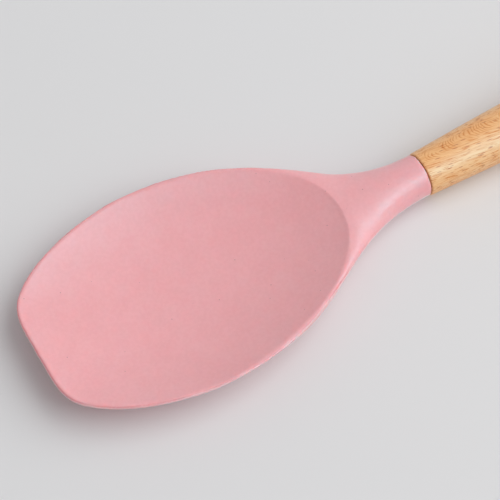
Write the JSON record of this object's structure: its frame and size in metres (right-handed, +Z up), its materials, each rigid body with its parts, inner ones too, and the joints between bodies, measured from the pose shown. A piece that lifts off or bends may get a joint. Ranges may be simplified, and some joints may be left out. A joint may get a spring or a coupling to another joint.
{
  "type": "silicone spatula",
  "caption": "Cooking spatula: a shallow oval silicone blade with a straight front edge, moulded over a nylon core, on a turned wooden handle with a hanging hole.",
  "frame": {"origin": "centre of the bounding box, on the table that the spatula lies on", "axes": "+X along the spatula from the blade's front edge to the handle's butt, +Y across the blade, +Z up, out of the blade's hollow; as it lies, the handle rises 3 degrees towards its butt"},
  "size_m": [0.3206, 0.0812, 0.026],
  "materials": {
    "silicone": "matt pink silicone",
    "nylon": "matt black",
    "steel": "bright drawn rod",
    "epoxy": "cured amber glue",
    "beech": "turned and oiled beech"
  },
  "bodies": {
    "root": {"silicone_head": "silicone", "nylon_core": "nylon", "steel_tang": "steel", "epoxy_sleeve": "epoxy", "beech_handle": "beech"}
  },
  "joints": []
}
